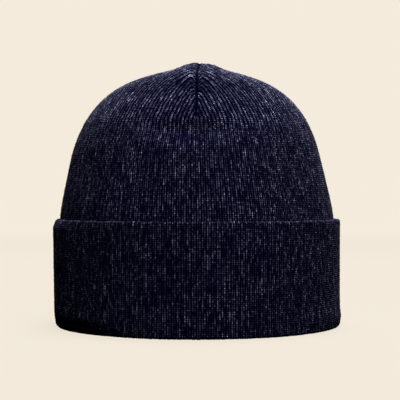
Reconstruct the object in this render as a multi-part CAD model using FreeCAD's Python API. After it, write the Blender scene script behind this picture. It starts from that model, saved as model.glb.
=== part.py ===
"""A double-layer rib-knit beanie with a deep turned-up cuff.

Millimetres, +Z up. The origin is on the surface that the hat stands on, at the middle of its
opening. The front is at -Y. A head is longer than it is wide, so every round piece is drawn as
a half section of X and Z, turned about Z, and then stretched along Y.
"""

import FreeCAD, Part
import math
import os

from FreeCAD import Matrix, Vector

# Driving dimensions
CUFF_HALF_WIDTH = 91.5  # side to side, outside of the turned-up cuff
DEPTH_RATIO = 1.17  # front-to-back size over side-to-side size
CUFF_HEIGHT = 68.0
TOTAL_HEIGHT = 167.0
LAYER = 1.6  # one layer of rib knit
PLY_GAP = 0.3  # air between layers that lie on each other
CROWN_GAP = 2.6  # air between shell and lining in the crown, which the dart seams fill
FOLD_ROUND = 2.0  # rounding of the lower fold and of the cuff's top edge
DART_BOTTOM = 126.0  # height at which each crown dart runs out
SEAM_WIDTH = 5.0
SEAM_THICKNESS = 2.0
SEAM_START = 8.0  # distance from the crown's middle to the first stitch of a dart
LABEL_WIDTH = 32.0
LABEL_HEIGHT = 34.0
LABEL_PLY = 0.35
LABEL_SPACE = 0.1  # air between the folded label's two plies
LABEL_BOTTOM = 24.0

# Side-to-side half widths of the four layers that lie on each other at the cuff
FACE_OUTER = CUFF_HALF_WIDTH
FACE_INNER = FACE_OUTER - LAYER
BACK_OUTER = FACE_INNER - PLY_GAP
BACK_INNER = BACK_OUTER - LAYER
SHELL_OUTER = BACK_INNER - PLY_GAP
SHELL_INNER = SHELL_OUTER - LAYER
LINING_OUTER = SHELL_INNER - PLY_GAP
LINING_INNER = LINING_OUTER - LAYER

# Heights at which the cuff's layers pass into the crown's layers
FACE_LIP = 4.0
BACK_LIP = 6.0
WALL_TOP = 60.0  # the crown's wall is upright up to here
CROWN_OPEN = 118.0  # from here up, shell and lining are the whole crown gap apart

# The crown's outside from the upright wall to the middle: half width and height
CROWN_OUTLINE = [
    (SHELL_OUTER, WALL_TOP),
    (83.1, 92.0),
    (76.7, 117.6),
    (66.6, 136.8),
    (53.2, 149.6),
    (36.0, 157.6),
    (18.0, 163.0),
    (0.0, TOTAL_HEIGHT),
]

# Azimuths of the darts, in degrees from +X; the lining's lie between the shell's
SHELL_DARTS = {"front": -90.0, "right": 0.0, "back": 90.0, "left": 180.0}
LINING_DARTS = {"front_right": -45.0, "back_right": 45.0, "back_left": 135.0, "front_left": 225.0}


def smooth_curve(points):
    """A curve through points that starts upright and ends level."""
    curve = Part.BSplineCurve()
    curve.interpolate(
        Points=[Vector(x, 0, z) for x, z in points],
        InitialTangent=Vector(0, 0, 1),
        FinalTangent=Vector(-1, 0, 0),
    )
    return curve


def inset(distance_at):
    """The crown's outline moved inwards by distance_at(height) at each of its points."""
    curve = smooth_curve(CROWN_OUTLINE)
    moved = []
    for x, z in CROWN_OUTLINE:
        tangent = curve.tangent(curve.parameter(Vector(x, 0, z)))[0]
        distance = distance_at(z)
        moved.append((x - tangent.z * distance, z + tangent.x * distance))
    return moved


def fixed(distance):
    """An inset that is the same at every height."""
    return lambda height: distance


def widening(extra):
    """An inset that grows from the wall's close layers to the crown's open gap, plus extra."""

    def distance_at(height):
        share = min(max((height - WALL_TOP) / (CROWN_OPEN - WALL_TOP), 0.0), 1.0)
        return LAYER + PLY_GAP + (CROWN_GAP - PLY_GAP) * share + extra

    return distance_at


def half_section(edges):
    """The flat face inside a closed loop of edges."""
    return Part.Face(Part.Wire(Part.__sortEdges__(edges)))


def oval(edges, start=0.0, sweep=360.0):
    """The solid that a closed half section makes when turned about Z and stretched along Y."""
    face = half_section(edges)
    face.rotate(Vector(0, 0, 0), Vector(0, 0, 1), start)
    solid = face.revolve(Vector(0, 0, 0), Vector(0, 0, 1), sweep)
    stretch = Matrix()
    stretch.scale(1.0, DEPTH_RATIO, 1.0)
    return solid.transformGeometry(stretch)


def with_flat_bottom(solid):
    """The same solid with its level bottom face made a true plane, which the hat rests on."""
    low = 0.2  # only the bottom face stays below this height
    faces = []
    for face in solid.Faces:
        if face.BoundBox.ZMax < low:
            face = Part.makeFace(face.Wires, "Part::FaceMakerBullseye")
            face.reverse()
        faces.append(face)
    return Part.Solid(Part.Shell(faces))


def line(start, end):
    """A straight edge between two points of the half section."""
    return Part.LineSegment(Vector(start[0], 0, start[1]), Vector(end[0], 0, end[1])).toShape()


def path(points):
    """Straight edges that join points one after another."""
    return [line(start, end) for start, end in zip(points, points[1:])]


def corner(centre, radius, start_angle):
    """A quarter circle of the half section, anticlockwise from start_angle in degrees."""
    ends = []
    for turn in (0.0, 45.0, 90.0):
        angle = math.radians(start_angle + turn)
        ends.append(Vector(centre[0] + radius * math.cos(angle), 0, centre[1] + radius * math.sin(angle)))
    return Part.Arc(*ends).toShape()


def crown_section(outside, inside, bottom):
    """The edges around a crown layer between two outlines, with its wall carried down to bottom."""
    edges = [smooth_curve(outside).toShape(), smooth_curve(inside).toShape()]
    edges.append(line(outside[-1], inside[-1]))
    return edges + path([outside[0], (outside[0][0], bottom), (inside[0][0], bottom), inside[0]])


def crown_shell():
    """The outer layer, from its join with the cuff's hidden layer up over the crown."""
    return oval(crown_section(inset(fixed(0.0)), inset(fixed(LAYER)), BACK_LIP))


def crown_lining():
    """The inner layer, from its join with the cuff's face up under the shell's crown."""
    return oval(crown_section(inset(widening(0.0)), inset(widening(LAYER)), FACE_LIP))


def cuff_face():
    """The layer that shows on the cuff, with the fold that the hat stands on."""
    r = FOLD_ROUND
    edges = [
        corner((LINING_INNER + r, r), r, 180.0),
        corner((FACE_OUTER - r, r), r, -90.0),
        corner((FACE_OUTER - r, CUFF_HEIGHT - r), r, 0.0),
    ]
    edges += path([(LINING_INNER + r, 0), (FACE_OUTER - r, 0)])
    edges += path([(FACE_OUTER, r), (FACE_OUTER, CUFF_HEIGHT - r)])
    edges += path(
        [
            (FACE_OUTER - r, CUFF_HEIGHT),
            (BACK_INNER, CUFF_HEIGHT),
            (BACK_INNER, CUFF_HEIGHT - LAYER),
            (FACE_INNER, CUFF_HEIGHT - LAYER),
            (FACE_INNER, LAYER),
            (LINING_OUTER, LAYER),
            (LINING_OUTER, FACE_LIP),
            (LINING_INNER, FACE_LIP),
            (LINING_INNER, r),
        ]
    )
    return with_flat_bottom(oval(edges))


def cuff_back():
    """The hidden layer behind the cuff's face, turned up from the shell."""
    floor = LAYER + PLY_GAP
    return oval(
        path(
            [
                (SHELL_INNER, BACK_LIP),
                (SHELL_INNER, floor),
                (BACK_OUTER, floor),
                (BACK_OUTER, CUFF_HEIGHT - LAYER),
                (BACK_INNER, CUFF_HEIGHT - LAYER),
                (BACK_INNER, floor + LAYER),
                (SHELL_OUTER, floor + LAYER),
                (SHELL_OUTER, BACK_LIP),
                (SHELL_INNER, BACK_LIP),
            ]
        )
    )


def dart_seam(outside, inside, azimuth):
    """The ridge of joined edges along one dart, between two outlines, at azimuth in degrees."""
    angle = math.radians(azimuth)
    across = Vector(-math.sin(angle), math.cos(angle) * DEPTH_RATIO**2, 0).normalize()
    along = math.hypot(math.cos(angle), math.sin(angle) / DEPTH_RATIO)
    widen = Matrix()
    widen.scale(1.0 / along, 1.0, 1.0)
    face = half_section(crown_section(outside, inside, BACK_LIP)).transformGeometry(widen)
    face.rotate(Vector(0, 0, 0), Vector(0, 0, 1), azimuth)
    face.translate(across * (-SEAM_WIDTH / 2))
    ridge = face.extrude(across * SEAM_WIDTH)
    reach = CUFF_HALF_WIDTH * DEPTH_RATIO
    room = Part.makeBox(reach, 2 * reach, TOTAL_HEIGHT, Vector(SEAM_START, -reach, DART_BOTTOM))
    room.rotate(Vector(0, 0, 0), Vector(0, 0, 1), azimuth)
    return ridge.common(room)


def shell_dart_seam(azimuth):
    """A seam ridge under the shell."""
    start = LAYER + PLY_GAP / 2
    return dart_seam(inset(fixed(start)), inset(fixed(start + SEAM_THICKNESS)), azimuth)


def lining_dart_seam(azimuth):
    """A seam ridge on top of the lining."""
    end = -PLY_GAP / 2
    return dart_seam(inset(widening(end - SEAM_THICKNESS)), inset(widening(end)), azimuth)


def crown_tack():
    """The crossed threads that hold lining and shell together at the crown's middle."""
    bar_length = 8.0
    bar_width = 1.4
    top = TOTAL_HEIGHT - LAYER - PLY_GAP
    bottom = TOTAL_HEIGHT - LAYER - CROWN_GAP + PLY_GAP
    bars = []
    for length, width in ((bar_length, bar_width), (bar_width, bar_length)):
        bars.append(Part.makeBox(length, width, top - bottom, Vector(-length / 2, -width / 2, bottom)))
    return bars[0].fuse(bars[1]).removeSplitter()


def care_label():
    """A blank woven label folded in half, on the lining at the back."""
    top = LABEL_BOTTOM + LABEL_HEIGHT
    fold_top = LABEL_BOTTOM + LABEL_PLY
    near_lining = LINING_INNER - PLY_GAP
    middle = near_lining - LABEL_PLY
    far_ply = middle - LABEL_SPACE
    far_face = far_ply - LABEL_PLY
    outline = path(
        [
            (near_lining, LABEL_BOTTOM),
            (near_lining, top),
            (middle, top),
            (middle, fold_top),
            (far_ply, fold_top),
            (far_ply, top),
            (far_face, top),
            (far_face, LABEL_BOTTOM),
            (near_lining, LABEL_BOTTOM),
        ]
    )
    half_angle = math.degrees(math.asin(LABEL_WIDTH / 2 / near_lining))
    return oval(outline, 90.0 - half_angle, 2 * half_angle)


def label_stitches():
    """The row of stitches that holds the label's upper edge to the lining."""
    stitch_length = 2.6
    thread = 0.45
    count = 8
    below_edge = 3.0
    height = LABEL_BOTTOM + LABEL_HEIGHT - below_edge
    half_width = LINING_INNER - PLY_GAP - 2 * LABEL_PLY - LABEL_SPACE - thread / 2
    stitches = []
    for i in range(count):
        x = (i - (count - 1) / 2) * LABEL_WIDTH / count
        angle = math.acos(x / half_width)
        y = half_width * DEPTH_RATIO * math.sin(angle)
        slope = math.degrees(math.atan2(DEPTH_RATIO * x, math.sqrt(half_width**2 - x**2)))
        stitch = Part.makeBox(
            stitch_length, thread, thread, Vector(-stitch_length / 2, -thread, 0)
        )
        stitch.rotate(Vector(0, 0, 0), Vector(0, 0, 1), -slope)
        stitch.translate(Vector(x, y, height))
        stitches.append(stitch)
    return Part.makeCompound(stitches)


def beanie():
    """Every piece of the hat by its name."""
    pieces = {
        "crown_shell": crown_shell(),
        "crown_lining": crown_lining(),
        "cuff_face": cuff_face(),
        "cuff_back": cuff_back(),
        "crown_tack": crown_tack(),
        "care_label": care_label(),
        "label_stitches": label_stitches(),
    }
    for side, azimuth in SHELL_DARTS.items():
        pieces[f"shell_{side}_dart_seam"] = shell_dart_seam(azimuth)
    for side, azimuth in LINING_DARTS.items():
        pieces[f"lining_{side}_dart_seam"] = lining_dart_seam(azimuth)
    return pieces


os.makedirs("parts", exist_ok=True)
for name, piece in beanie().items():
    piece.exportStep(f"parts/{name}.step")
    box = piece.BoundBox
    print(
        f"{name}: {len(piece.Solids)} solid(s), valid {piece.isValid()}, "
        f"{piece.Volume / 1000:.1f} cm3, {box.XLength:.1f} x {box.YLength:.1f} x {box.ZLength:.1f} mm, "
        f"bottom {box.ZMin:.2f} mm"
    )
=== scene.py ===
"""A navy rib-knit beanie with a turned-up cuff, on a plain pale floor.

Metres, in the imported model's frame: +Z up, the front at -Y. The knit is built stitch by stitch
from formulas: each point has a rib number u, counted round the hat from the middle of a gore to
a dart, and a stitch number v, counted up along the rib.
"""

import math

import bpy
import numpy as np
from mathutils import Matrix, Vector


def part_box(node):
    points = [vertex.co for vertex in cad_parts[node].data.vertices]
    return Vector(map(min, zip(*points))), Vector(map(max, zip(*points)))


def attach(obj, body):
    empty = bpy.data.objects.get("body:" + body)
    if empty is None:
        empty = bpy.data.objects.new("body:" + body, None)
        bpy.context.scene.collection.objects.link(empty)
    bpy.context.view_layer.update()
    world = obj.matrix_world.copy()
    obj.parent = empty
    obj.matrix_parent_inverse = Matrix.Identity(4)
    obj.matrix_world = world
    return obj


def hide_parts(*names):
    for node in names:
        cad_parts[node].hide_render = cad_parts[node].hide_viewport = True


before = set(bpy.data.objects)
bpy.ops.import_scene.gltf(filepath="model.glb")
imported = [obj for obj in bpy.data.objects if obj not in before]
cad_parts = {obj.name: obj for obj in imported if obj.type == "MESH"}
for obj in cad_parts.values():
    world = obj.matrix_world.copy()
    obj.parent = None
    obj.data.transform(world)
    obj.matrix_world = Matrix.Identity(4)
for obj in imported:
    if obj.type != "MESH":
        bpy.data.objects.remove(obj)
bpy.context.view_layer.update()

MM = 0.001

# Sizes read from the frame
_, cuff_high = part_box("cuff_face")
shell_low, shell_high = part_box("crown_shell")
lining_low, lining_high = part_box("crown_lining")
back_low, back_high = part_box("cuff_back")
label_low, label_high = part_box("care_label")
tack_low, tack_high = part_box("crown_tack")
CUFF_RADIUS = cuff_high.x  # side-to-side half width of the cuff
DEPTH = cuff_high.y / cuff_high.x  # front-to-back size over side-to-side size
CUFF_TOP = cuff_high.z
CROWN_TOP = shell_high.z
WALL_RADIUS = shell_high.x
BACK_RADIUS = back_high.x
LAYER = 1.6 * MM  # thickness of one knitted layer
LINING_RADIUS = lining_high.x - LAYER  # the side of the lining that faces the head

# The knit: each rib is two legs of stitches, with a groove on either side
CROWN_RIBS = 25  # ribs in an eighth of the crown, from a dart to the middle of a gore
CUFF_RIBS = 27  # ribs in an eighth of the cuff, which is stretched the widest
COURSE = 1.25 * MM  # height of one stitch
FINE_ROW = COURSE / 3  # mesh rows where the knit shows
COARSE_ROW = COURSE  # mesh rows where another layer hides it
FINE_RIB = (0.0, 0.07, 0.15, 0.25, 0.36, 0.5, 0.64, 0.75, 0.85, 0.93)  # mesh columns across a rib
COARSE_RIB = (0.0, 0.25, 0.5, 0.75)
LEG_PLACE = 0.25  # from a rib's middle to a leg's, in ribs
LEG_WIDTH = 0.12
LEG_SHIFT = 0.13  # how far the legs draw together where they meet
LEG_SHARE = 0.6  # how much of the relief comes from the legs
STITCH_SLANT = 1.1  # how many stitches a leg's yarn falls over one rib's width
STITCH_SHARE = 0.6  # how much of the relief comes from the single stitches
RIB_DEPTH = 0.7 * MM
HIDDEN_DEPTH = 0.35 * MM  # ribs of the layers that lie pressed between others
STITCH_UNEVEN = 0.09 * MM  # how much single stitches stand out or sink
UNEVEN_ROWS = 400  # stitches up the hat before their unevenness repeats

# The crown
CROWN_START = CUFF_TOP - 8 * MM  # the shell lies hidden behind the cuff below here
DART_BOTTOM = 126 * MM
SEAM_GROOVE = 1.5 * MM  # depth of the groove over a dart seam
SEAM_GROOVE_WIDTH = 0.75 * MM
SEAM_FADE = 0.12  # share of a dart's length over which its groove deepens
# Painted shade: the seam groove is painted darker by taking this share of the knit's relief from what
# the material sees
SEAM_GROOVE_PAINTED_SHADE = 0.9  # how much of the knit's relief is lost in the groove
SEAM_WIDTH = 5 * MM  # of the ridge inside
SEAM_THICKNESS = 1.3 * MM
SEAM_TAPER = 12 * MM  # length over which a ridge widens from its lower end
SEAM_SWELL = 0.12  # how much a ridge swells at each link
SEAM_DEPTH = 3.3 * MM  # from the shell's outside to the middle of a seam ridge
SEAM_START = 8 * MM  # how far from the crown's middle a seam begins
CROWN_GAP = 4.2 * MM  # from the shell's outside to the lining's outside in the crown
GATHERED = 0.28  # share of the ribs that the darts leave, squeezed together, near the middle
TIGHTEST = 1.7  # how much narrower than at a dart's lower end a rib can be squeezed
DART_EASE = 8 * MM  # length over which a dart starts to take ribs away
MERGING = 18 * MM  # length over which the two legs of a rib draw together, across a dart's lower end
FULL_FROM = 138 * MM  # the crown's top is fuller at the front and back from here up
FULLNESS = 1.2
PAIRING = 9 * MM  # beside a dart's upper end the ribs join two and two, out to here
PAIRED_FROM, PAIRED_EASE = 0.25, 0.2  # where that starts, in shares of the dart's length
ARCH_RIBS = 5  # how many ribs' widths a rib turns back down where it arches over into a dart
ARCH_WIDTH = 2.1 * MM
ARCH_FROM, ARCH_EASE = 0.2, 0.3
PUCKER_DEPTH = 0.28 * MM
PUCKER_LENGTH = 4.6 * MM
PUCKER_REACH = 3.5 * MM
CROWN_UNEVEN = 0.6 * MM
CALM = 20 * MM  # nearer than this to the crown's middle, grooves and unevenness fade out

# The label
LABEL_IN = 1.05 * MM  # from the lining to the middle of the folded label
LABEL_GAP = 0.35 * MM  # half the space between the label's two sides
LABEL_CURL = 2.2 * MM
LABEL_COLUMNS = 49  # points across its width
LABEL_ROW = 0.5 * MM

TINY = 1e-9
MARGIN = 0.01  # bare border round a panel's own UV square
SIDE_NAMES = ("front", "right", "back", "left")


def smoothstep(x):
    """0 below 0, 1 above 1, and an even curve between."""
    x = np.clip(x, 0.0, 1.0)
    return x * x * (3 - 2 * x)


# ---------------------------------------------------------------- outlines


def spline(points, start_slope, end_slope):
    """Points along a smooth curve of radius and height that starts and ends with given slopes."""
    knots = np.array(points, float)
    chord = np.concatenate([[0.0], np.cumsum(np.linalg.norm(np.diff(knots, axis=0), axis=1))])
    gap = np.diff(chord)
    count = len(knots)
    system = np.zeros((count, count))
    right = np.zeros((count, 2))
    system[0, 0] = system[-1, -1] = 1.0
    right[0], right[-1] = start_slope, end_slope
    for i in range(1, count - 1):
        before, after = 1 / gap[i - 1], 1 / gap[i]
        system[i, i - 1 : i + 2] = before, 2 * (before + after), after
        right[i] = 3 * (
            before**2 * (knots[i] - knots[i - 1]) + after**2 * (knots[i + 1] - knots[i])
        )
    slope = np.linalg.solve(system, right)
    fine = np.linspace(0, chord[-1], 3000)
    k = np.clip(np.searchsorted(chord, fine, side="right") - 1, 0, count - 2)
    t = ((fine - chord[k]) / gap[k])[:, None]
    g = gap[k][:, None]
    return (
        (2 * t**3 - 3 * t**2 + 1) * knots[k]
        + (t**3 - 2 * t**2 + t) * g * slope[k]
        + (3 * t**2 - 2 * t**3) * knots[k + 1]
        + (t**3 - t**2) * g * slope[k + 1]
    )


def rows_along(curve, spacing, hidden=0.0):
    """The curve's rows, coarse over its first hidden length: places, directions and lengths."""
    steps = np.linalg.norm(np.diff(curve, axis=0), axis=1)
    along = np.concatenate([[0.0], np.cumsum(steps)])
    count = max(2, int(round((along[-1] - hidden) / spacing)))
    at = np.linspace(hidden, along[-1], count + 1)
    if hidden:
        at = np.concatenate([np.arange(0.0, hidden - COARSE_ROW / 2, COARSE_ROW), at])
    places = np.stack([np.interp(at, along, curve[:, i]) for i in (0, 1)], axis=1)
    directions = np.gradient(places, at, axis=0)
    directions /= np.linalg.norm(directions, axis=1)[:, None]
    return places, directions, at


def arc(centre, radius, start, end, steps=24):
    """Points along a circular arc of an outline, angles in degrees."""
    turn = np.radians(np.linspace(start, end, steps))
    return np.stack([centre[0] + radius * np.cos(turn), centre[1] + radius * np.sin(turn)], axis=1)


def inset(curve, distance):
    """A curve moved towards the inside of the hat by a distance, or one distance a point."""
    directions = np.gradient(curve, axis=0)
    directions /= np.linalg.norm(directions, axis=1)[:, None]
    inward = np.stack([-directions[:, 1], directions[:, 0]], axis=1)
    moved = curve + inward * np.broadcast_to(distance, len(curve))[:, None]
    moved[:, 0] = np.maximum(moved[:, 0], 0.0)
    return moved


# ---------------------------------------------------------------- the oval

TURN = np.linspace(-math.pi / 2, 1.5 * math.pi, 2881)
_speed = np.hypot(np.sin(TURN), DEPTH * np.cos(TURN))
_length = np.concatenate([[0.0], np.cumsum((_speed[1:] + _speed[:-1]) / 2 * np.diff(TURN))])
QUARTERS = _length / _length[-1] * 4
OVAL_LENGTH = _length[-1]  # the oval's length round, for a side-to-side half width of 1


def turn_at(quarters):
    """The angle of a place that is so many quarters round from the front, anticlockwise."""
    return np.interp(np.mod(quarters, 4.0), QUARTERS, TURN)


def depth_at(height):
    """Front-to-back over side-to-side size at a height, and how fast it grows with height."""
    reach = CROWN_TOP - FULL_FROM
    share = np.clip((height - FULL_FROM) / reach, 0, 1)
    return DEPTH * (1 + FULLNESS * share**3), DEPTH * FULLNESS * 3 * share**2 / reach


def oval_point(radius, height, turn, direction):
    """Points and outward normals where an outline of radius and height goes round the oval."""
    depth, growth = depth_at(height)
    points = np.stack([radius * np.cos(turn), depth * radius * np.sin(turn), height], axis=1)
    out, up = direction[:, 0], direction[:, 1]
    far_out = depth * out + growth * up * radius
    level = np.sin(turn) ** 2 * far_out + depth * np.cos(turn) ** 2 * out
    normals = np.stack([depth * np.cos(turn) * up, np.sin(turn) * up, -level], axis=1)
    return points, normals / np.linalg.norm(normals, axis=1)[:, None]


def waves(turn, height, seed):
    """A smooth uneven field round the hat, about -1 to 1, the same each run."""
    count, most_lobes = 7, 4
    random = np.random.default_rng(seed)
    field = np.zeros(np.broadcast(turn, height).shape)
    for _ in range(count):
        lobes = random.integers(1, most_lobes + 1)
        rise = random.uniform(15, 45)
        phase, lean = random.uniform(0, 2 * math.pi, 2)
        field += np.sin(lobes * turn + phase) * np.cos(rise * height + lean)
    return field / math.sqrt(count)


# ---------------------------------------------------------------- the knit


def knit_relief(u, v, merged):
    """Height of the knit, 0 in a groove to 1 on a stitch. In a merged rib the legs meet."""
    x = np.abs(u - np.floor(u) - 0.5)
    rib = 1 - (2 * x) ** 4
    leg = np.exp(-(((x - LEG_PLACE + LEG_SHIFT * merged) / LEG_WIDTH) ** 2))
    stitch = 0.5 + 0.5 * np.cos(2 * math.pi * (v - STITCH_SLANT * x))
    return rib * (1 - LEG_SHARE + LEG_SHARE * leg) * (1 - STITCH_SHARE + STITCH_SHARE * stitch)


def grid_faces(first, last, columns):
    """Quads and triangles between rows of points whose ends step in towards a dart."""
    rows = len(first)
    i, c = np.meshgrid(np.arange(rows - 1), np.arange(columns - 1), indexing="ij")
    a = first[i] + np.minimum(c, last[i])
    b = first[i] + np.minimum(c + 1, last[i])
    d = first[i + 1] + np.minimum(c, last[i + 1])
    e = first[i + 1] + np.minimum(c + 1, last[i + 1])
    quads = np.stack([a, b, e, d], axis=-1)[(a != b) & (d != e)]
    lower = np.stack([a, b, e], axis=-1)[(a != b) & (d == e)]
    upper = np.stack([a, e, d], axis=-1)[(a == b) & (d != e)]
    return quads, np.concatenate([lower, upper])


def make_object(name, quads, triangles, points, uv_maps, relief=None, flip=False):
    """A Blender object from quads and triangles, with its UV maps and its relief attribute."""
    if flip:
        quads, triangles = quads[:, ::-1], triangles[:, ::-1]
    mesh = bpy.data.meshes.new(name)
    corners = np.concatenate([quads.ravel(), triangles.ravel()]).astype(np.int32)
    sizes = np.concatenate([np.full(len(quads), 4), np.full(len(triangles), 3)])
    starts = np.concatenate([[0], np.cumsum(sizes)[:-1]]).astype(np.int32)
    mesh.vertices.add(len(points))
    mesh.vertices.foreach_set("co", points.astype(np.float32).ravel())
    mesh.loops.add(len(corners))
    mesh.loops.foreach_set("vertex_index", corners)
    mesh.polygons.add(len(sizes))
    mesh.polygons.foreach_set("loop_start", starts)
    mesh.update(calc_edges=True)
    mesh.polygons.foreach_set("use_smooth", np.ones(len(sizes), bool))
    for layer_name, uv in uv_maps.items():
        layer = mesh.uv_layers.new(name=layer_name)
        layer.data.foreach_set("uv", uv[corners].astype(np.float32).ravel())
    if relief is not None:
        attribute = mesh.attributes.new("relief", "FLOAT", "POINT")
        attribute.data.foreach_set("value", relief.astype(np.float32))
    mesh.validate()
    thing = bpy.data.objects.new(name, mesh)
    bpy.context.scene.collection.objects.link(thing)
    return thing


class Layer:
    """One knitted layer of the hat: its rows, how many ribs each holds, and how they are shaped.

    ribs is the number of ribs in an eighth, rows what rows_along gives, and seed sets which
    stitches stand out. Where the layer shows, its mesh is finer and its ribs are deeper.
    """

    def __init__(self, ribs, rows, seed, shows=False, darts=False, first_dart=0.0):
        self.ribs = ribs
        self.places, self.directions, self.along = rows
        self.depth = RIB_DEPTH if shows else HIDDEN_DEPTH
        self.first_dart = first_dart  # quarters from the front to the first dart
        self.rise = np.zeros(len(self.along))  # 0 up to the darts' lower ends, 1 at the middle
        self.merged = np.zeros(len(self.along))  # 0 where a rib's legs stand apart, 1 where they meet
        self.counts = np.full(len(self.along), float(ribs))  # ribs left in an eighth, row by row
        if darts:
            self.take_darts()
        columns = FINE_RIB if shows else COARSE_RIB
        whole = (np.arange(ribs)[:, None] + np.array(columns)[None, :]).ravel()
        self.columns = np.append(whole, float(ribs))
        self.pitch = OVAL_LENGTH * self.places[:, 0] / 8 / np.maximum(self.counts, TINY)
        self.uneven = np.random.default_rng(seed).normal(size=(UNEVEN_ROWS, 2 * ribs + 2))

    def take_darts(self):
        """Narrows the eighth above the darts' lower ends, partly by squeezing its ribs."""
        radius = self.places[:, 0]
        bottom = np.searchsorted(self.places[:, 1], DART_BOTTOM)
        above = np.maximum(self.along - self.along[bottom], 0)
        self.rise = above / above[-1]
        self.merged = smoothstep((self.along - self.along[bottom]) / MERGING + 0.5)
        share = np.minimum(1.0, radius / radius[bottom])
        taken = (1 - GATHERED) * (1 - share) * smoothstep(above / DART_EASE)
        self.counts[bottom:] *= np.minimum(1 - taken, TIGHTEST * share)[bottom:]

    def relief(self, row, u, edge):
        """The knit's height at points, and the rib number that each point is drawn with."""
        rise = self.rise[row]
        v = self.along[row] / COURSE
        arched = smoothstep((rise - ARCH_FROM) / ARCH_EASE) * np.exp(-((edge / ARCH_WIDTH) ** 2))
        drawn = u - ARCH_RIBS * arched
        paired = smoothstep((rise - PAIRED_FROM) / PAIRED_EASE)
        paired = paired * smoothstep((2 * PAIRING - edge) / PAIRING)
        relief = knit_relief(drawn, v, self.merged[row])
        return relief + paired * (knit_relief(drawn / 2, v, 1) - relief), drawn

    def panel(self, name, start, mirrored, form=None):
        """The eighth that begins at a dart, or mirrored the eighth that ends at the next one.

        form(points, normals, turn, edge, rise, along, relief) shapes the points further and
        gives back the relief that the material sees. edge is the distance to the dart, and
        along the distance from the outline's lower end.
        """
        last = np.searchsorted(self.columns, self.counts - TINY)
        last = np.minimum(last, len(self.columns) - 1)
        first = np.concatenate([[0], np.cumsum(last + 1)])[:-1]
        row = np.repeat(np.arange(len(self.along)), last + 1)
        column = np.concatenate([np.arange(n + 1) for n in last])
        u = np.minimum(self.columns[column], self.counts[row])
        sign = 1 if mirrored else -1
        across = u / np.maximum(self.counts[row], TINY)
        turn = turn_at(start + self.first_dart + 0.5 + sign * across / 2)
        points, normals = oval_point(
            self.places[row, 0], self.places[row, 1], turn, self.directions[row]
        )
        v = self.along[row] / COURSE
        edge = (self.counts[row] - u) * self.pitch[row]
        relief, drawn = self.relief(row, u, edge)
        stitch = v.astype(int) % len(self.uneven), u.astype(int) + self.ribs * mirrored
        lift = self.depth * (relief - 1) + STITCH_UNEVEN * self.uneven[stitch] * relief
        points += normals * lift[:, None]
        if form:
            relief = form(points, normals, turn, edge, self.rise[row], self.along[row], relief)
        long_way = self.along[row] / self.along[-1]
        uv_maps = {
            "OFBake": MARGIN + (1 - 2 * MARGIN) * np.stack([u / self.ribs, long_way], 1),
            "knit": np.stack([sign * drawn + 2 * self.ribs * start, v], 1),
        }
        quads, triangles = grid_faces(first, last, len(self.columns))
        return make_object(name, quads, triangles, points, uv_maps, relief, flip=not mirrored)

    def flat_size(self):
        """The flat width and length of one panel."""
        return self.ribs * float(self.pitch[0]), float(self.along[-1])

    def flat_area(self):
        """The flat area of one panel with the dart cut out."""
        ribs_along = np.diff(self.along) * (self.counts[1:] + self.counts[:-1]) / 2
        return float(self.pitch[0]) * float(ribs_along.sum())

    def panels(self, prefix, names, form=None):
        """All eight panels."""
        return [
            self.panel(f"{prefix}_{names(start, mirrored)}", start, mirrored, form)
            for start in range(4)
            for mirrored in (False, True)
        ]


def beside_dart(start, mirrored):
    """Which dart the eighth lies beside and which way it goes from it, such as front_right."""
    after = (start + 1) % 4
    near, toward = (after, start) if mirrored else (start, after)
    return f"{SIDE_NAMES[near]}_{SIDE_NAMES[toward]}"


def half_of_gore(start, mirrored):
    """Which side of the hat the eighth covers, and which half of that gore it is."""
    return f"{SIDE_NAMES[(start + 1) % 4]}_{'second' if mirrored else 'first'}"


# ---------------------------------------------------------------- crown

# The shell's outline from its hidden lower end to the crown's middle: half width and height
SHELL_CURVE = np.concatenate(
    [
        [[WALL_RADIUS, shell_low.z]],
        spline(
            [
                (WALL_RADIUS, CROWN_START),
                (86.9 * MM, 72 * MM),
                (82.7 * MM, 93 * MM),
                (76.5 * MM, 117.4 * MM),
                (66.4 * MM, 136.6 * MM),
                (53.0 * MM, 149.4 * MM),
                (36.2 * MM, 157.3 * MM),
                (24.0 * MM, 160.8 * MM),
                (16.4 * MM, 163.2 * MM),
                (8.6 * MM, 166.3 * MM),
                (0.0, CROWN_TOP),
            ],
            (0, 1),
            (-1, 0),
        ),
    ]
)

LEAN_HEIGHTS = np.array([68, 108, 158, 164]) * MM
LEAN = np.array([0.2, -0.5, 0.4, 1.7]) * MM  # how far right the crown sits at those heights

# The soft dent under the front dart
DIMPLE_X, DIMPLE_Z = -7 * MM, 122 * MM
DIMPLE_WIDTH = 22 * MM
DIMPLE_HEIGHT = 6.5 * MM
DIMPLE_DEPTH = 3.4 * MM


def crown_form(points, normals, turn, edge, rise, along, relief):
    """The dart seams' grooves and puckers, the dent under the front one, unevenness and lean, and
    painted shade in the seam grooves.
    """
    dart = smoothstep(rise / SEAM_FADE)
    seam = np.exp(-((edge / SEAM_GROOVE_WIDTH) ** 2)) * dart
    pucker = np.sin(2 * math.pi * along / PUCKER_LENGTH) * np.exp(-edge / PUCKER_REACH) * (1 - seam)
    outer = np.minimum(1, np.hypot(points[:, 0], points[:, 1]) / CALM)
    lift = PUCKER_DEPTH * pucker * dart - SEAM_GROOVE * outer**2 * seam
    lift += CROWN_UNEVEN * waves(turn, points[:, 2], 5) * outer
    across = (points[:, 0] - DIMPLE_X) / DIMPLE_WIDTH
    up = (points[:, 2] - DIMPLE_Z) / DIMPLE_HEIGHT
    lift -= DIMPLE_DEPTH * np.exp(-(up**2) - across**2) * (points[:, 1] < 0)
    points += normals * lift[:, None]
    points[:, 0] += np.interp(points[:, 2], LEAN_HEIGHTS, LEAN)
    # painted shade: the seam groove's relief is lowered for the material only, so its colour is darker
    return relief * (1 - SEAM_GROOVE_PAINTED_SHADE * seam)


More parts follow.
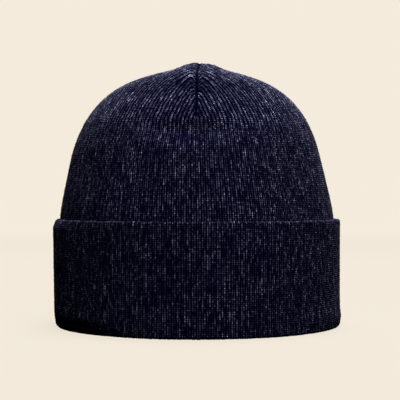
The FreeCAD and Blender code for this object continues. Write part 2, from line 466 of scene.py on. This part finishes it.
def crown_panels():
    """The shell's eight panels."""
    hidden = CROWN_START - shell_low.z
    rows = rows_along(SHELL_CURVE, FINE_ROW, hidden)
    layer = Layer(CROWN_RIBS, rows, 11, shows=True, darts=True)
    flat, area = layer.flat_size(), layer.flat_area()
    panels = layer.panels("crown", beside_dart, crown_form)
    for panel in panels:
        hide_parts("crown_shell")
    return panels


def lining_panels():
    """The lining's eight panels, whose darts lie between the shell's."""
    share = smoothstep((SHELL_CURVE[:, 1] - CUFF_TOP) / (DART_BOTTOM - CUFF_TOP))
    close = WALL_RADIUS - LINING_RADIUS
    curve = inset(SHELL_CURVE, close + (CROWN_GAP + LAYER - close) * share)
    curve[0, 1] = lining_low.z
    layer = Layer(CROWN_RIBS, rows_along(curve, COARSE_ROW), 17, darts=True, first_dart=0.5)
    flat, area = layer.flat_size(), layer.flat_area()
    panels = layer.panels("lining", half_of_gore)
    for panel in panels:
        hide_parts("crown_lining")
    return panels


# ---------------------------------------------------------------- cuff

# How the cuff's outside differs from an even oval: a distance, the angle round the hat where it
# is greatest and the angle over which it fades out, in degrees anticlockwise from the right.
TOP_LEFT_DIP = (1.7 * MM, 185, 70)
LOWER_LEFT_ROUNDING = (4.5 * MM, 215, 42)
LOWER_RIGHT_ROUNDING = (1.5 * MM, 330, 40)
LEFT_TAPER = (0.9 * MM, 180, 70)
LOWER_RIGHT_ROLL = (0.8 * MM, 350, 60)
OUTSIDE_FROM, OUTSIDE_EASE = 0.96, 0.03  # where the outside begins, in shares of the half width
CUFF_UNEVEN = 0.45 * MM
DIP_HEIGHT = 6 * MM  # from the top fold down
ROUNDED_HEIGHT = 10 * MM
ROLL_HEIGHT, ROLL_WIDTH = 6 * MM, 5 * MM
PRESSED_HEIGHT = 3 * MM  # the knit is pressed flat where the hat stands on it, up to here
PRESSED = 0.8  # how much of the ribs' depth is pressed out


def cuff_rows():
    """The cuff's layer from inside the hat, round the lower fold, up, and over the top fold."""
    inner_round, outer_round, top_round = 2.0 * MM, 2.0 * MM, 1.75 * MM
    curve = np.concatenate(
        [
            [[LINING_RADIUS, lining_low.z]],
            arc((LINING_RADIUS + inner_round, inner_round), inner_round, 180, 270),
            arc((CUFF_RADIUS - outer_round, outer_round), outer_round, 270, 360),
            arc((CUFF_RADIUS - top_round, CUFF_TOP - top_round), top_round, 0, 180),
            [[CUFF_RADIUS - 2 * top_round, CROWN_START]],
        ]
    )
    return rows_along(curve, FINE_ROW)


def around(turn, difference):
    """A difference's distance at angles round the hat."""
    distance, centre, width = difference
    away = np.abs(np.degrees(np.angle(np.exp(1j * (turn - math.radians(centre))))))
    return distance * (1 - smoothstep(away / width))


def cuff_form(points, normals, turn, edge, rise, along, relief):
    """The cuff's soft unevenness, its rounded lower edge and its pressed underside."""
    height = points[:, 2]
    level = np.clip(height / CUFF_TOP, 0, 1)
    reach = np.hypot(points[:, 0], points[:, 1] / DEPTH) / CUFF_RADIUS
    outer = smoothstep((reach - OUTSIDE_FROM) / OUTSIDE_EASE)
    top = smoothstep((height - CUFF_TOP + DIP_HEIGHT) / DIP_HEIGHT)
    low = 1 - smoothstep(height / ROUNDED_HEIGHT)
    roll = np.exp(-(((height - ROLL_HEIGHT) / ROLL_WIDTH) ** 2))
    out = CUFF_UNEVEN * waves(turn, height, 9) * level
    out -= top * around(turn, TOP_LEFT_DIP) * outer
    out -= low * around(turn, LOWER_LEFT_ROUNDING) * outer
    out -= low * around(turn, LOWER_RIGHT_ROUNDING) * outer
    out -= (1 - level) * around(turn, LEFT_TAPER) * outer
    out += roll * around(turn, LOWER_RIGHT_ROLL) * outer
    points[:, 0] += out * np.cos(turn)
    points[:, 1] += out * np.sin(turn)
    pressed = 1 - smoothstep(height / PRESSED_HEIGHT)
    points += normals * (RIB_DEPTH * PRESSED * (1 - relief) * pressed)[:, None]
    return relief


def cuff_panels():
    """The eight panels of the layer that shows on the cuff."""
    layer = Layer(CUFF_RIBS, cuff_rows(), 23, shows=True)
    panels = layer.panels("cuff", beside_dart, cuff_form)
    for panel in panels:
        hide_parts("cuff_face")
    return panels


def cuff_back_panels():
    """The eight panels of the layer turned up behind the cuff's face."""
    fold, clearance = 1.0 * MM, 0.3 * MM
    radius = BACK_RADIUS - clearance
    curve = np.concatenate(
        [
            [[radius - 2 * fold, shell_low.z]],
            arc((radius - fold, back_low.z + fold), fold, 180, 360),
            [[radius, back_high.z - LAYER]],
        ]
    )
    layer = Layer(CROWN_RIBS, rows_along(curve, COARSE_ROW), 29)
    panels = layer.panels("cuff_back", beside_dart)
    for panel in panels:
        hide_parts("cuff_back")
    return panels


# ---------------------------------------------------------------- seams, tack and label


def swept(name, path, sides, ups, section):
    """A closed bar along a path. section(i) gives its outline there as (sideways, up) offsets."""
    rows = len(path)
    rings = np.stack([section(i) for i in range(rows)])
    points = path[:, None, :] + rings[:, :, :1] * sides[:, None, :] + rings[:, :, 1:] * ups[:, None, :]
    count = rings.shape[1]
    i, c = np.meshgrid(np.arange(rows - 1), np.arange(count), indexing="ij")
    n = (c + 1) % count
    quads = np.stack([i * count + c, i * count + n, (i + 1) * count + n, (i + 1) * count + c], -1)
    points = points.reshape(-1, 3)
    middle = np.stack([points[:count].mean(0), points[-count:].mean(0)])
    start, end = len(points), len(points) + 1
    points = np.concatenate([points, middle])
    ring = np.arange(count)
    after = (ring + 1) % count
    first = np.stack([np.full(count, start), after, ring], -1)
    base = (rows - 1) * count
    second = np.stack([np.full(count, end), base + ring, base + after], -1)
    triangles = np.concatenate([first, second])
    turns = np.tile(np.arange(count) / count, rows)
    lengths = np.repeat(np.arange(rows) / (rows - 1), count)
    uv = np.concatenate([np.stack([turns, lengths], 1), [[0.5, 0.0], [0.5, 1.0]]])
    return make_object(name, quads.reshape(-1, 4), triangles, points, {"OFBake": uv})


def seam_ridge(name, node, quarter, depth):
    """Two turned-in edges that lie side by side under a dart, linked stitch by stitch."""
    curve = inset(SHELL_CURVE, depth)
    keep = (curve[:, 1] > DART_BOTTOM + 2 * MM) & (curve[:, 0] > SEAM_START)
    places, directions, along = rows_along(curve[keep], 0.5 * MM)
    turn = np.full(len(places), turn_at(quarter))
    path, ups = oval_point(places[:, 0], places[:, 1], turn, directions)
    path[:, 0] += np.interp(path[:, 2], LEAN_HEIGHTS, LEAN)
    forward = np.gradient(path, axis=0)
    sides = np.cross(forward, ups)
    sides /= np.linalg.norm(sides, axis=1)[:, None]
    angle = np.linspace(0, 2 * math.pi, 20, endpoint=False)

    def section(i):
        taper = min(1.0, along[i] / SEAM_TAPER) * 0.7 + 0.3
        link = 1 + SEAM_SWELL * math.sin(2 * math.pi * along[i] / (2 * COURSE))
        lobes = 0.55 + 0.45 * np.abs(np.cos(angle)) ** 0.7
        across = SEAM_WIDTH / 2 * taper * link * np.cos(angle)
        return np.stack([across, SEAM_THICKNESS / 2 * link * lobes * np.sin(angle)], 1)

    ridge = swept(name, path, sides, ups, section)
    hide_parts(node)
    return ridge


def dart_seams():
    """The eight dart seams, four under the shell and four on the lining."""
    ridges = []
    for i, side in enumerate(SIDE_NAMES):
        node = f"shell_{side}_dart_seam"
        ridges.append(seam_ridge(f"shell_{side}_seam", node, i, SEAM_DEPTH))
    corners = ("front_right", "back_right", "back_left", "front_left")
    for i, side in enumerate(corners):
        node = f"lining_{side}_dart_seam"
        ridges.append(seam_ridge(f"lining_{side}_seam", node, i + 0.5, SEAM_DEPTH - 0.2 * MM))
    return ridges


def thread(name, start, end, radius, bulge=0.0, pitch=1.6 * MM):
    """A short thread of three strands, bowed upwards in the middle by bulge."""
    start, end = np.array(start), np.array(end)
    share = np.linspace(0, 1, 40)
    path = start + (end - start) * share[:, None]
    path[:, 2] += bulge * np.sin(math.pi * share)
    length = np.linalg.norm(end - start)
    forward = (end - start) / length
    side = np.cross(forward, (0, 0, 1))
    side /= np.linalg.norm(side)
    angle = np.linspace(0, 2 * math.pi, 18, endpoint=False)

    def section(i):
        twist = 2 * math.pi * share[i] * length / pitch
        end_round = math.sqrt(max(0.05, 1 - (2 * share[i] - 1) ** 8))
        r = radius * end_round * (0.84 + 0.16 * np.abs(np.cos(3 * (angle - twist) / 2)))
        return np.stack([r * np.cos(angle), r * np.sin(angle)], 1)

    sides = np.tile(side, (len(path), 1))
    ups = np.tile(np.cross(side, forward), (len(path), 1))
    return swept(name, path, sides, ups, section)


def crown_tack():
    """Two crossed threads between the shell's middle and the lining's."""
    lean = LEAN[-1]
    reach, radius = tack_high.x, 0.55 * MM
    middle = (tack_low.z + tack_high.z) / 2 - 1.2 * MM
    bars = []
    for name, x, y, rise in (("tack_across", 1, 0, radius), ("tack_along", 0, 1, -radius)):
        start = (lean - reach * x, -reach * y, middle + rise)
        end = (lean + reach * x, reach * y, middle + rise)
        bar = thread(name, start, end, radius, bulge=0.3 * MM)
        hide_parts("crown_tack")
        bars.append(bar)
    return bars


def care_label():
    """A blank satin label folded in half at its lower edge, on the lining at the back."""
    low, high = label_low.z, label_high.z
    middle = LINING_RADIUS - LABEL_IN
    curve = np.concatenate(
        [
            [[middle - LABEL_GAP, high]],
            arc((middle, low + LABEL_GAP), LABEL_GAP, 180, 360, 10),
            [[middle + LABEL_GAP, high]],
        ]
    )
    places, _, along = rows_along(curve, LABEL_ROW)
    half_width = (label_high.x - label_low.x) / 2
    x = np.linspace(-half_width, half_width, LABEL_COLUMNS)
    row, column = np.meshgrid(np.arange(len(places)), np.arange(LABEL_COLUMNS), indexing="ij")
    a = (row * LABEL_COLUMNS + column)[:-1, :-1]
    above = a + LABEL_COLUMNS
    quads = np.stack([a, a + 1, above + 1, above], -1).reshape(-1, 4)
    row, column = row.ravel(), column.ravel()
    lower = 1 - (places[row, 1] - low) / (high - low)
    curl = LABEL_CURL * lower**2 * (0.7 + 0.3 * np.cos(x[column] / half_width * 2.2))
    y = DEPTH * np.sqrt(places[row, 0] ** 2 - x[column] ** 2) - curl
    points = np.stack([x[column], y, places[row, 1]], 1)
    uv = np.stack([column / (LABEL_COLUMNS - 1), along[row] / along[-1]], 1)
    label = make_object("blank_label", quads, np.zeros((0, 3), int), points, {"OFBake": uv})
    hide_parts("care_label")
    return label


def label_stitches():
    """The row of stitches along the label's upper edge."""
    length, radius, count = 2.6 * MM, 0.24 * MM, 8
    height = label_high.z - 3 * MM
    depth_in = LINING_RADIUS - LABEL_IN - LABEL_GAP
    width = label_high.x - label_low.x
    stitches = []
    for i in range(count):
        x = (i - (count - 1) / 2) * width / count
        ends = []
        for end in (x - length / 2, x + length / 2):
            ends.append((end, DEPTH * math.sqrt(depth_in**2 - end**2) - radius, height))
        stitch = thread(f"label_stitch_{i + 1}", *ends, radius, pitch=0.9 * MM)
        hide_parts("label_stitches")
        stitches.append(stitch)
    return stitches


# ---------------------------------------------------------------- materials


class Nodes:
    """Short calls for building a material's node tree."""

    def __init__(self, name):
        self.material = bpy.data.materials.new(name)
        self.material.use_nodes = True
        self.tree = self.material.node_tree
        self.tree.nodes.clear()

    def add(self, kind, **settings):
        node = self.tree.nodes.new(kind)
        for key, value in settings.items():
            setattr(node, key, value)
        return node

    def link(self, source, target):
        self.tree.links.new(source, target)

    def put(self, socket, value):
        if isinstance(value, bpy.types.NodeSocket):
            self.link(value, socket)
        else:
            socket.default_value = value

    def math(self, operation, *values):
        node = self.add("ShaderNodeMath", operation=operation)
        for socket, value in zip(node.inputs, values):
            self.put(socket, value)
        return node.outputs[0]

    def ramp(self, value, low, high, out_low=0.0, out_high=1.0):
        node = self.add("ShaderNodeMapRange", clamp=True)
        for socket, v in zip(node.inputs, (value, low, high, out_low, out_high)):
            self.put(socket, v)
        return node.outputs[0]

    def mix(self, share, a, b):
        node = self.add("ShaderNodeMix", data_type="RGBA")
        self.put(node.inputs[0], share)
        self.put(node.inputs[6], a)
        self.put(node.inputs[7], b)
        return node.outputs[2]

    def join(self, x, y, z=0.0):
        node = self.add("ShaderNodeCombineXYZ")
        for socket, value in zip(node.inputs, (x, y, z)):
            self.put(socket, value)
        return node.outputs[0]

    def scaled(self, vector, x, y, z=1.0):
        node = self.add("ShaderNodeVectorMath", operation="MULTIPLY")
        self.put(node.inputs[0], vector)
        node.inputs[1].default_value = (x, y, z)
        return node.outputs[0]

    def noise(self, vector, scale, detail=2.0):
        node = self.add("ShaderNodeTexNoise")
        self.put(node.inputs["Vector"], vector)
        node.inputs["Scale"].default_value = scale
        node.inputs["Detail"].default_value = detail
        return node.outputs["Fac"]

    def bump(self, height, distance, strength=0.6):
        node = self.add("ShaderNodeBump")
        node.inputs["Strength"].default_value = strength
        node.inputs["Distance"].default_value = distance
        self.link(height, node.inputs["Height"])
        return node.outputs[0]

    def shader(self, colour, roughness, normal=None, **settings):
        """The principled shader, wired to the output. settings are its own socket values."""
        node = self.add("ShaderNodeBsdfPrincipled")
        self.put(node.inputs["Base Color"], colour)
        self.put(node.inputs["Roughness"], roughness)
        if normal is not None:
            self.link(normal, node.inputs["Normal"])
        for key, value in settings.items():
            node.inputs[key.replace("_", " ")].default_value = value
        out = self.add("ShaderNodeOutputMaterial")
        self.link(node.outputs[0], out.inputs["Surface"])
        return self.material


def knit_material(name, groove, stitch, painted_glint_colour):
    """Acrylic rib knit: painted shade in the grooves, painted highlights on the stitches' tops that
    are palest on a few, and fibres.
    """
    n = Nodes(name)
    uv = n.add("ShaderNodeUVMap", uv_map="knit").outputs[0]
    relief = n.add("ShaderNodeAttribute", attribute_name="relief").outputs["Fac"]
    split = n.add("ShaderNodeSeparateXYZ")
    n.link(uv, split.inputs[0])
    u, v = split.outputs[0], split.outputs[1]

    # Painted highlight: only the stitches' tops are painted light, and some legs, single stitches and
    # patches more than others, as though they caught more light
    painted_highlight_mask = n.math("POWER", relief, 4.0)
    leg = n.math("FLOOR", n.math("MULTIPLY", u, 2.0))
    run = n.join(n.math("MULTIPLY", leg, 7.31), n.math("MULTIPLY", v, 0.14))
    streak = n.math("POWER", n.ramp(n.noise(run, 1.0), 0.36, 0.7, 0.3, 1.0), 2.2)
    spot = n.add("ShaderNodeTexWhiteNoise", noise_dimensions="2D")
    n.link(n.join(leg, n.math("FLOOR", v)), spot.inputs["Vector"])
    single = n.ramp(n.math("POWER", spot.outputs["Value"], 2.4), 0.0, 1.0, 0.12, 1.0)
    patch = n.ramp(n.noise(n.scaled(uv, 0.16, 0.06), 1.0, 3.0), 0.35, 0.65, 0.75, 1.0)
    energy = n.math("MULTIPLY", n.math("MULTIPLY", patch, single), streak)
    # Painted light and shade: bright is how strongly each point is painted as highlit; the groove
    # colour, darker than the yarn, is painted shade, and the stitch colour and the palest one are
    # painted highlights
    bright = n.math("MULTIPLY", painted_highlight_mask, energy)
    colour = n.mix(bright, groove, n.mix(bright, stitch, painted_glint_colour))

    # Fibres follow the yarn's slant in each leg
    x = n.math("ABSOLUTE", n.math("SUBTRACT", n.math("FRACT", u), 0.5))
    slant = n.math("SUBTRACT", v, n.math("MULTIPLY", x, 1.7))
    twist = n.join(n.math("MULTIPLY", x, 9.0), n.math("MULTIPLY", slant, 2.0), n.math("FLOOR", u))
    fibre = n.noise(twist, 2.2, 3.0)
    return n.shader(
        colour,
        n.ramp(fibre, 0.2, 0.8, 0.95, 0.7),
        n.bump(fibre, 0.25 * MM),
        Specular_IOR_Level=0.0,
        Sheen_Weight=0.012,
        Sheen_Roughness=0.3,
        Sheen_Tint=(0.6, 0.6, 0.72, 1.0),
    )


def yarn_material(name, colour, light):
    """Plain spun yarn for the seams and the tack."""
    n = Nodes(name)
    place = n.add("ShaderNodeTexCoord").outputs["Object"]
    fibre = n.noise(n.scaled(place, 1500, 1500, 1500), 1.0, 4.0)
    tone = n.mix(n.ramp(fibre, 0.3, 0.7), colour, light)
    return n.shader(
        tone, n.ramp(fibre, 0.3, 0.7, 0.95, 0.75), n.bump(fibre, 0.15 * MM),
        Specular_IOR_Level=0.1, Sheen_Weight=0.3,
    )


def satin_material():
    """Blank woven satin: long floats one way, with a soft streaked shine."""
    n = Nodes("label_satin")
    uv = n.add("ShaderNodeUVMap", uv_map="OFBake").outputs[0]
    weave = n.add("ShaderNodeTexWave", wave_type="BANDS", bands_direction="X")
    n.link(uv, weave.inputs["Vector"])
    weave.inputs["Scale"].default_value = 60.0
    weave.inputs["Distortion"].default_value = 1.5
    floats = weave.outputs["Fac"]
    streak = n.noise(n.scaled(uv, 90, 6), 1.0, 3.0)
    colour = n.mix(n.ramp(streak, 0.3, 0.7), (0.62, 0.6, 0.56, 1), (0.78, 0.77, 0.73, 1))
    return n.shader(
        colour, n.ramp(streak, 0.3, 0.7, 0.32, 0.48), n.bump(floats, 0.05 * MM, 0.4),
        Anisotropic=0.5, Specular_IOR_Level=0.45,
    )


def floor_material():
    """Warm cream paper, as bright as the backdrop, that takes only a faint shadow."""
    n = Nodes("floor_paper")
    place = n.add("ShaderNodeTexCoord").outputs["Object"]
    distance = n.add("ShaderNodeVectorMath", operation="LENGTH")
    n.link(place, distance.inputs[0])
    fade = n.ramp(distance.outputs["Value"], 0.4, 2.5, FLOOR_GLOW, 1.0)
    glow = n.mix(fade, (0, 0, 0, 1), BACKDROP)
    paper = n.add("ShaderNodeBsdfDiffuse")
    paper.inputs["Color"].default_value = FLOOR_PAPER
    light = n.add("ShaderNodeEmission")
    n.link(glow, light.inputs["Color"])
    both = n.add("ShaderNodeAddShader")
    n.link(paper.outputs[0], both.inputs[0])
    n.link(light.outputs[0], both.inputs[1])
    out = n.add("ShaderNodeOutputMaterial")
    n.link(both.outputs[0], out.inputs["Surface"])
    return n.material


# ---------------------------------------------------------------- stage

BACKDROP = (0.905, 0.831, 0.716, 1.0)  # warm cream
FLOOR_GLOW = 0.88  # the floor's own share of the backdrop's brightness, near the hat
FLOOR_PAPER = (0.016, 0.0147, 0.0128, 1.0)
AIR = (0.15, 0.15, 1.0, 1.0)  # colour of the weak light from all round
AIR_STRENGTH = 0.055
CAMERA = Vector((2.2 * MM, -1.0, 84 * MM))
AIM = Vector((2.2 * MM, 0, 79.85 * MM))
LENS = 140.6  # in millimetres, as Blender has it


def add_floor():
    """A plain pale floor that fades into the backdrop."""
    bpy.ops.mesh.primitive_plane_add(size=60, location=(0, 0, 0))
    floor = bpy.context.object
    floor.name = "floor"
    floor.data.materials.append(floor_material())
    floor.visible_diffuse = False
    floor.visible_glossy = False


def add_world():
    """A cream backdrop, and a weak bluish light from all round."""
    world = bpy.data.worlds.new("studio")
    bpy.context.scene.world = world
    world.use_nodes = True
    tree = world.node_tree
    tree.nodes.clear()
    seen = tree.nodes.new("ShaderNodeBackground")
    seen.inputs[0].default_value = BACKDROP
    light = tree.nodes.new("ShaderNodeBackground")
    light.inputs[0].default_value = AIR
    light.inputs[1].default_value = AIR_STRENGTH
    path = tree.nodes.new("ShaderNodeLightPath")
    mix = tree.nodes.new("ShaderNodeMixShader")
    out = tree.nodes.new("ShaderNodeOutputWorld")
    tree.links.new(path.outputs["Is Camera Ray"], mix.inputs[0])
    tree.links.new(light.outputs[0], mix.inputs[1])
    tree.links.new(seen.outputs[0], mix.inputs[2])
    tree.links.new(mix.outputs[0], out.inputs[0])


def stand(name, data, place, target):
    """A lamp or camera at a place, turned to its target."""
    thing = bpy.data.objects.new(name, data)
    thing.location = place
    thing.rotation_euler = (Vector(target) - Vector(place)).to_track_quat("-Z", "Y").to_euler()
    bpy.context.scene.collection.objects.link(thing)
    return thing


def add_lamp(name, place, target, size, power):
    """A soft square lamp."""
    data = bpy.data.lights.new(name, "AREA")
    data.shape = "SQUARE"
    data.size = size
    data.energy = power
    stand(name, data, place, target)


def add_camera():
    """A long lens at the front, a little above the cuff's edge, aimed very slightly down."""
    data = bpy.data.cameras.new("camera")
    data.lens = LENS
    data.sensor_width = 36
    bpy.context.scene.camera = stand("camera", data, CAMERA, AIM)


# ---------------------------------------------------------------- build


def dress(pieces, material):
    """Gives pieces their material and their body."""
    for piece in pieces:
        piece.data.materials.append(material)
        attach(piece, "root")


add_camera()
# Each knit's colours: painted shade for the grooves, then painted highlights for the stitches' tops
# and for the brightest of them
outer_knit = knit_material(
    "navy_rib_knit", (0.0001, 0.0001, 0.003, 1), (0.58, 0.58, 0.92, 1), (0.95, 0.95, 1.0, 1)
)
lining_knit = knit_material(
    "navy_lining_knit", (0.0004, 0.0004, 0.005, 1), (0.4, 0.4, 0.68, 1), (0.6, 0.6, 0.7, 1)
)
seam_yarn = yarn_material("navy_seam_yarn", (0.004, 0.004, 0.012, 1), (0.03, 0.03, 0.05, 1))
label_thread = yarn_material("label_thread", (0.5, 0.5, 0.46, 1), (0.7, 0.7, 0.66, 1))
dress(crown_panels() + cuff_panels() + cuff_back_panels(), outer_knit)
dress(lining_panels(), lining_knit)
dress(dart_seams() + crown_tack(), seam_yarn)
dress([care_label()], satin_material())
dress(label_stitches(), label_thread)

add_floor()
add_world()
add_lamp("top_softbox", place=(0.12, 0.18, 1.3), target=(0, 0, 0.1), size=0.55, power=72)
add_lamp("front_key", place=(0.22, -0.85, 1.0), target=(0, 0, 0.08), size=0.6, power=44)
add_lamp("back_fill", place=(0.0, 1.0, 0.9), target=(0, 0, 0.08), size=0.6, power=22)
bpy.context.scene.view_settings.view_transform = "Standard"
